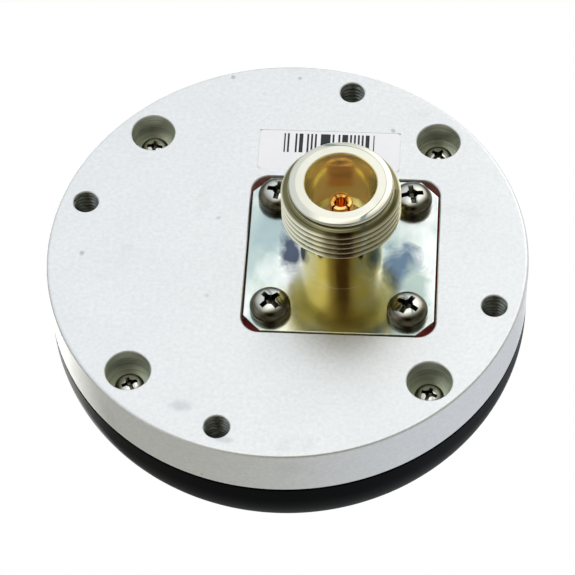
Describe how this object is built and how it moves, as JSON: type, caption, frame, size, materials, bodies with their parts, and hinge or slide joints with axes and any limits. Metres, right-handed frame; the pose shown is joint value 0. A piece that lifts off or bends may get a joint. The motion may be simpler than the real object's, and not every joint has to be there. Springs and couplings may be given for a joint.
{
  "type": "surface-mount satellite navigation antenna",
  "caption": "Round satellite positioning antenna with a black domed radome on an aluminium base, and a flanged threaded coaxial socket on its mounting face.",
  "frame": {"origin": "centre of the flat mounting face under the aluminium base, which is also the centre of the circle of threaded mounting holes", "axes": "+Z from the mounting face up to the crown of the radome, along the antenna's axis; +X from the centre towards the off-centre coaxial socket"},
  "size_m": [0.065, 0.065, 0.0409],
  "materials": {
    "base_aluminium": "satin turned",
    "radome_black": "satin moulded",
    "nickel_plate": "bright nickel plate",
    "gold_plate": "bright gold plate",
    "ptfe": "smooth",
    "gasket_red": "matt silicone",
    "seal_black": "matt",
    "screw_steel": "polished dark nickel",
    "insert_brass": "machined",
    "standoff_brass": "machined",
    "board_green": "solder mask",
    "can_tin": "tin plate",
    "chip_black": "moulded",
    "adhesive_film": "matt film",
    "patch_ceramic": "fired",
    "silver_film": "printed silver",
    "foam_grey": "open foam",
    "label_white": "smooth film"
  },
  "bodies": {
    "root": {"base_plate": "base_aluminium", "base_seal_ring": "seal_black", "serial_label": "label_white", "case_screws": "screw_steel", "radome": "radome_black", "radome_inserts": "insert_brass", "connector_body": "nickel_plate", "connector_insulator": "ptfe", "connector_contact": "gold_plate", "connector_gasket": "gasket_red", "flange_screws": "screw_steel", "board_standoffs": "standoff_brass", "board_screws": "screw_steel", "antenna_board": "board_green", "shield_can": "can_tin", "amplifier_components": "chip_black", "board_adhesive": "adhesive_film", "lower_patch": "patch_ceramic", "lower_electrode": "silver_film", "patch_adhesive": "adhesive_film", "upper_patch": "patch_ceramic", "upper_electrode": "silver_film", "feed_pins": "gold_plate", "foam_pad": "foam_grey"}
  },
  "joints": []
}
